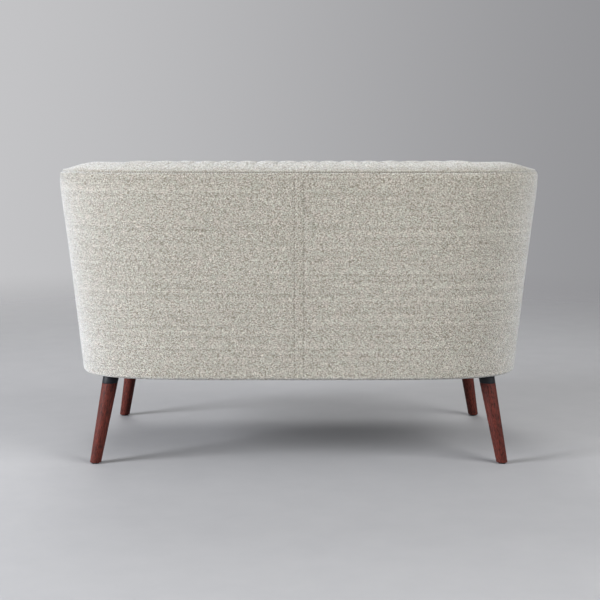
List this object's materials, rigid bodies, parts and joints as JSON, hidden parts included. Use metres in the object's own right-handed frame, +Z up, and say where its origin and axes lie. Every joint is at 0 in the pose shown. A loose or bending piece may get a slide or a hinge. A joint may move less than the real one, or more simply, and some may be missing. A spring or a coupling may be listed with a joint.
{
  "type": "armless loveseat",
  "caption": "Armless loveseat with a curved fabric shell, a channelled inside back that sweeps down at the sides, a crowned seat and splayed tapered wood legs.",
  "frame": {"origin": "on the floor, under the middle of the bounding box", "axes": "+Z up, +X to the right of someone who looks at the front, the front of the seat faces -Y and the back is towards +Y"},
  "size_m": [1.2366, 0.75, 0.784],
  "materials": {
    "upholstery_fabric": "nubbly oatmeal upholstery fabric",
    "leg_wood": "red-brown stained hardwood, satin lacquer",
    "black_plastic": "black moulded plastic, satin",
    "zinc_steel": "zinc plated steel",
    "frame_wood": "raw plywood and hardwood, hidden",
    "fibreboard": "thin hardboard, hidden",
    "foam": "cut polyurethane foam, hidden",
    "felt": "grey needled felt, hidden",
    "webbing": "black elastic webbing, hidden",
    "dust_cloth": "black non-woven cloth"
  },
  "bodies": {
    "root": {"channelled_inside_back": "upholstery_fabric", "outside_cover_right": "upholstery_fabric", "outside_cover_left": "upholstery_fabric", "front_rail_cover": "upholstery_fabric", "seat_cover": "upholstery_fabric", "leg_rear_right": "leg_wood", "leg_front_right": "leg_wood", "leg_rear_left": "leg_wood", "leg_front_left": "leg_wood", "leg_collar_rear_right": "black_plastic", "leg_collar_front_right": "black_plastic", "leg_collar_rear_left": "black_plastic", "leg_collar_front_left": "black_plastic", "foot_glide_rear_right": "black_plastic", "foot_glide_front_right": "black_plastic", "foot_glide_rear_left": "black_plastic", "foot_glide_front_left": "black_plastic", "hanger_bolt_rear_right": "zinc_steel", "hanger_bolt_front_right": "zinc_steel", "hanger_bolt_rear_left": "zinc_steel", "hanger_bolt_front_left": "zinc_steel", "leg_plate_rear_right": "zinc_steel", "leg_plate_front_right": "zinc_steel", "leg_plate_rear_left": "zinc_steel", "leg_plate_front_left": "zinc_steel", "seat_spring_1": "zinc_steel", "seat_spring_2": "zinc_steel", "seat_spring_3": "zinc_steel", "seat_spring_4": "zinc_steel", "seat_spring_5": "zinc_steel", "seat_spring_6": "zinc_steel", "spring_clip_strip_front": "zinc_steel", "spring_clip_strip_rear": "zinc_steel", "corner_block_rear_right": "frame_wood", "corner_block_front_right": "frame_wood", "corner_block_rear_left": "frame_wood", "corner_block_front_left": "frame_wood", "front_rail": "frame_wood", "rear_rail": "frame_wood", "side_rail_right": "frame_wood", "side_rail_left": "frame_wood", "centre_rail": "frame_wood", "back_post_inner_right": "frame_wood", "back_post_inner_left": "frame_wood", "back_post_corner_right": "frame_wood", "back_post_corner_left": "frame_wood", "back_top_rail": "frame_wood", "back_lumbar_rail": "frame_wood", "wing_panel_right": "frame_wood", "wing_panel_left": "frame_wood", "outside_board": "fibreboard", "seat_foam": "foam", "back_foam": "foam", "deck_pad": "felt", "back_web_1": "webbing", "back_web_2": "webbing", "back_web_3": "webbing", "dust_cover": "dust_cloth"}
  },
  "joints": []
}
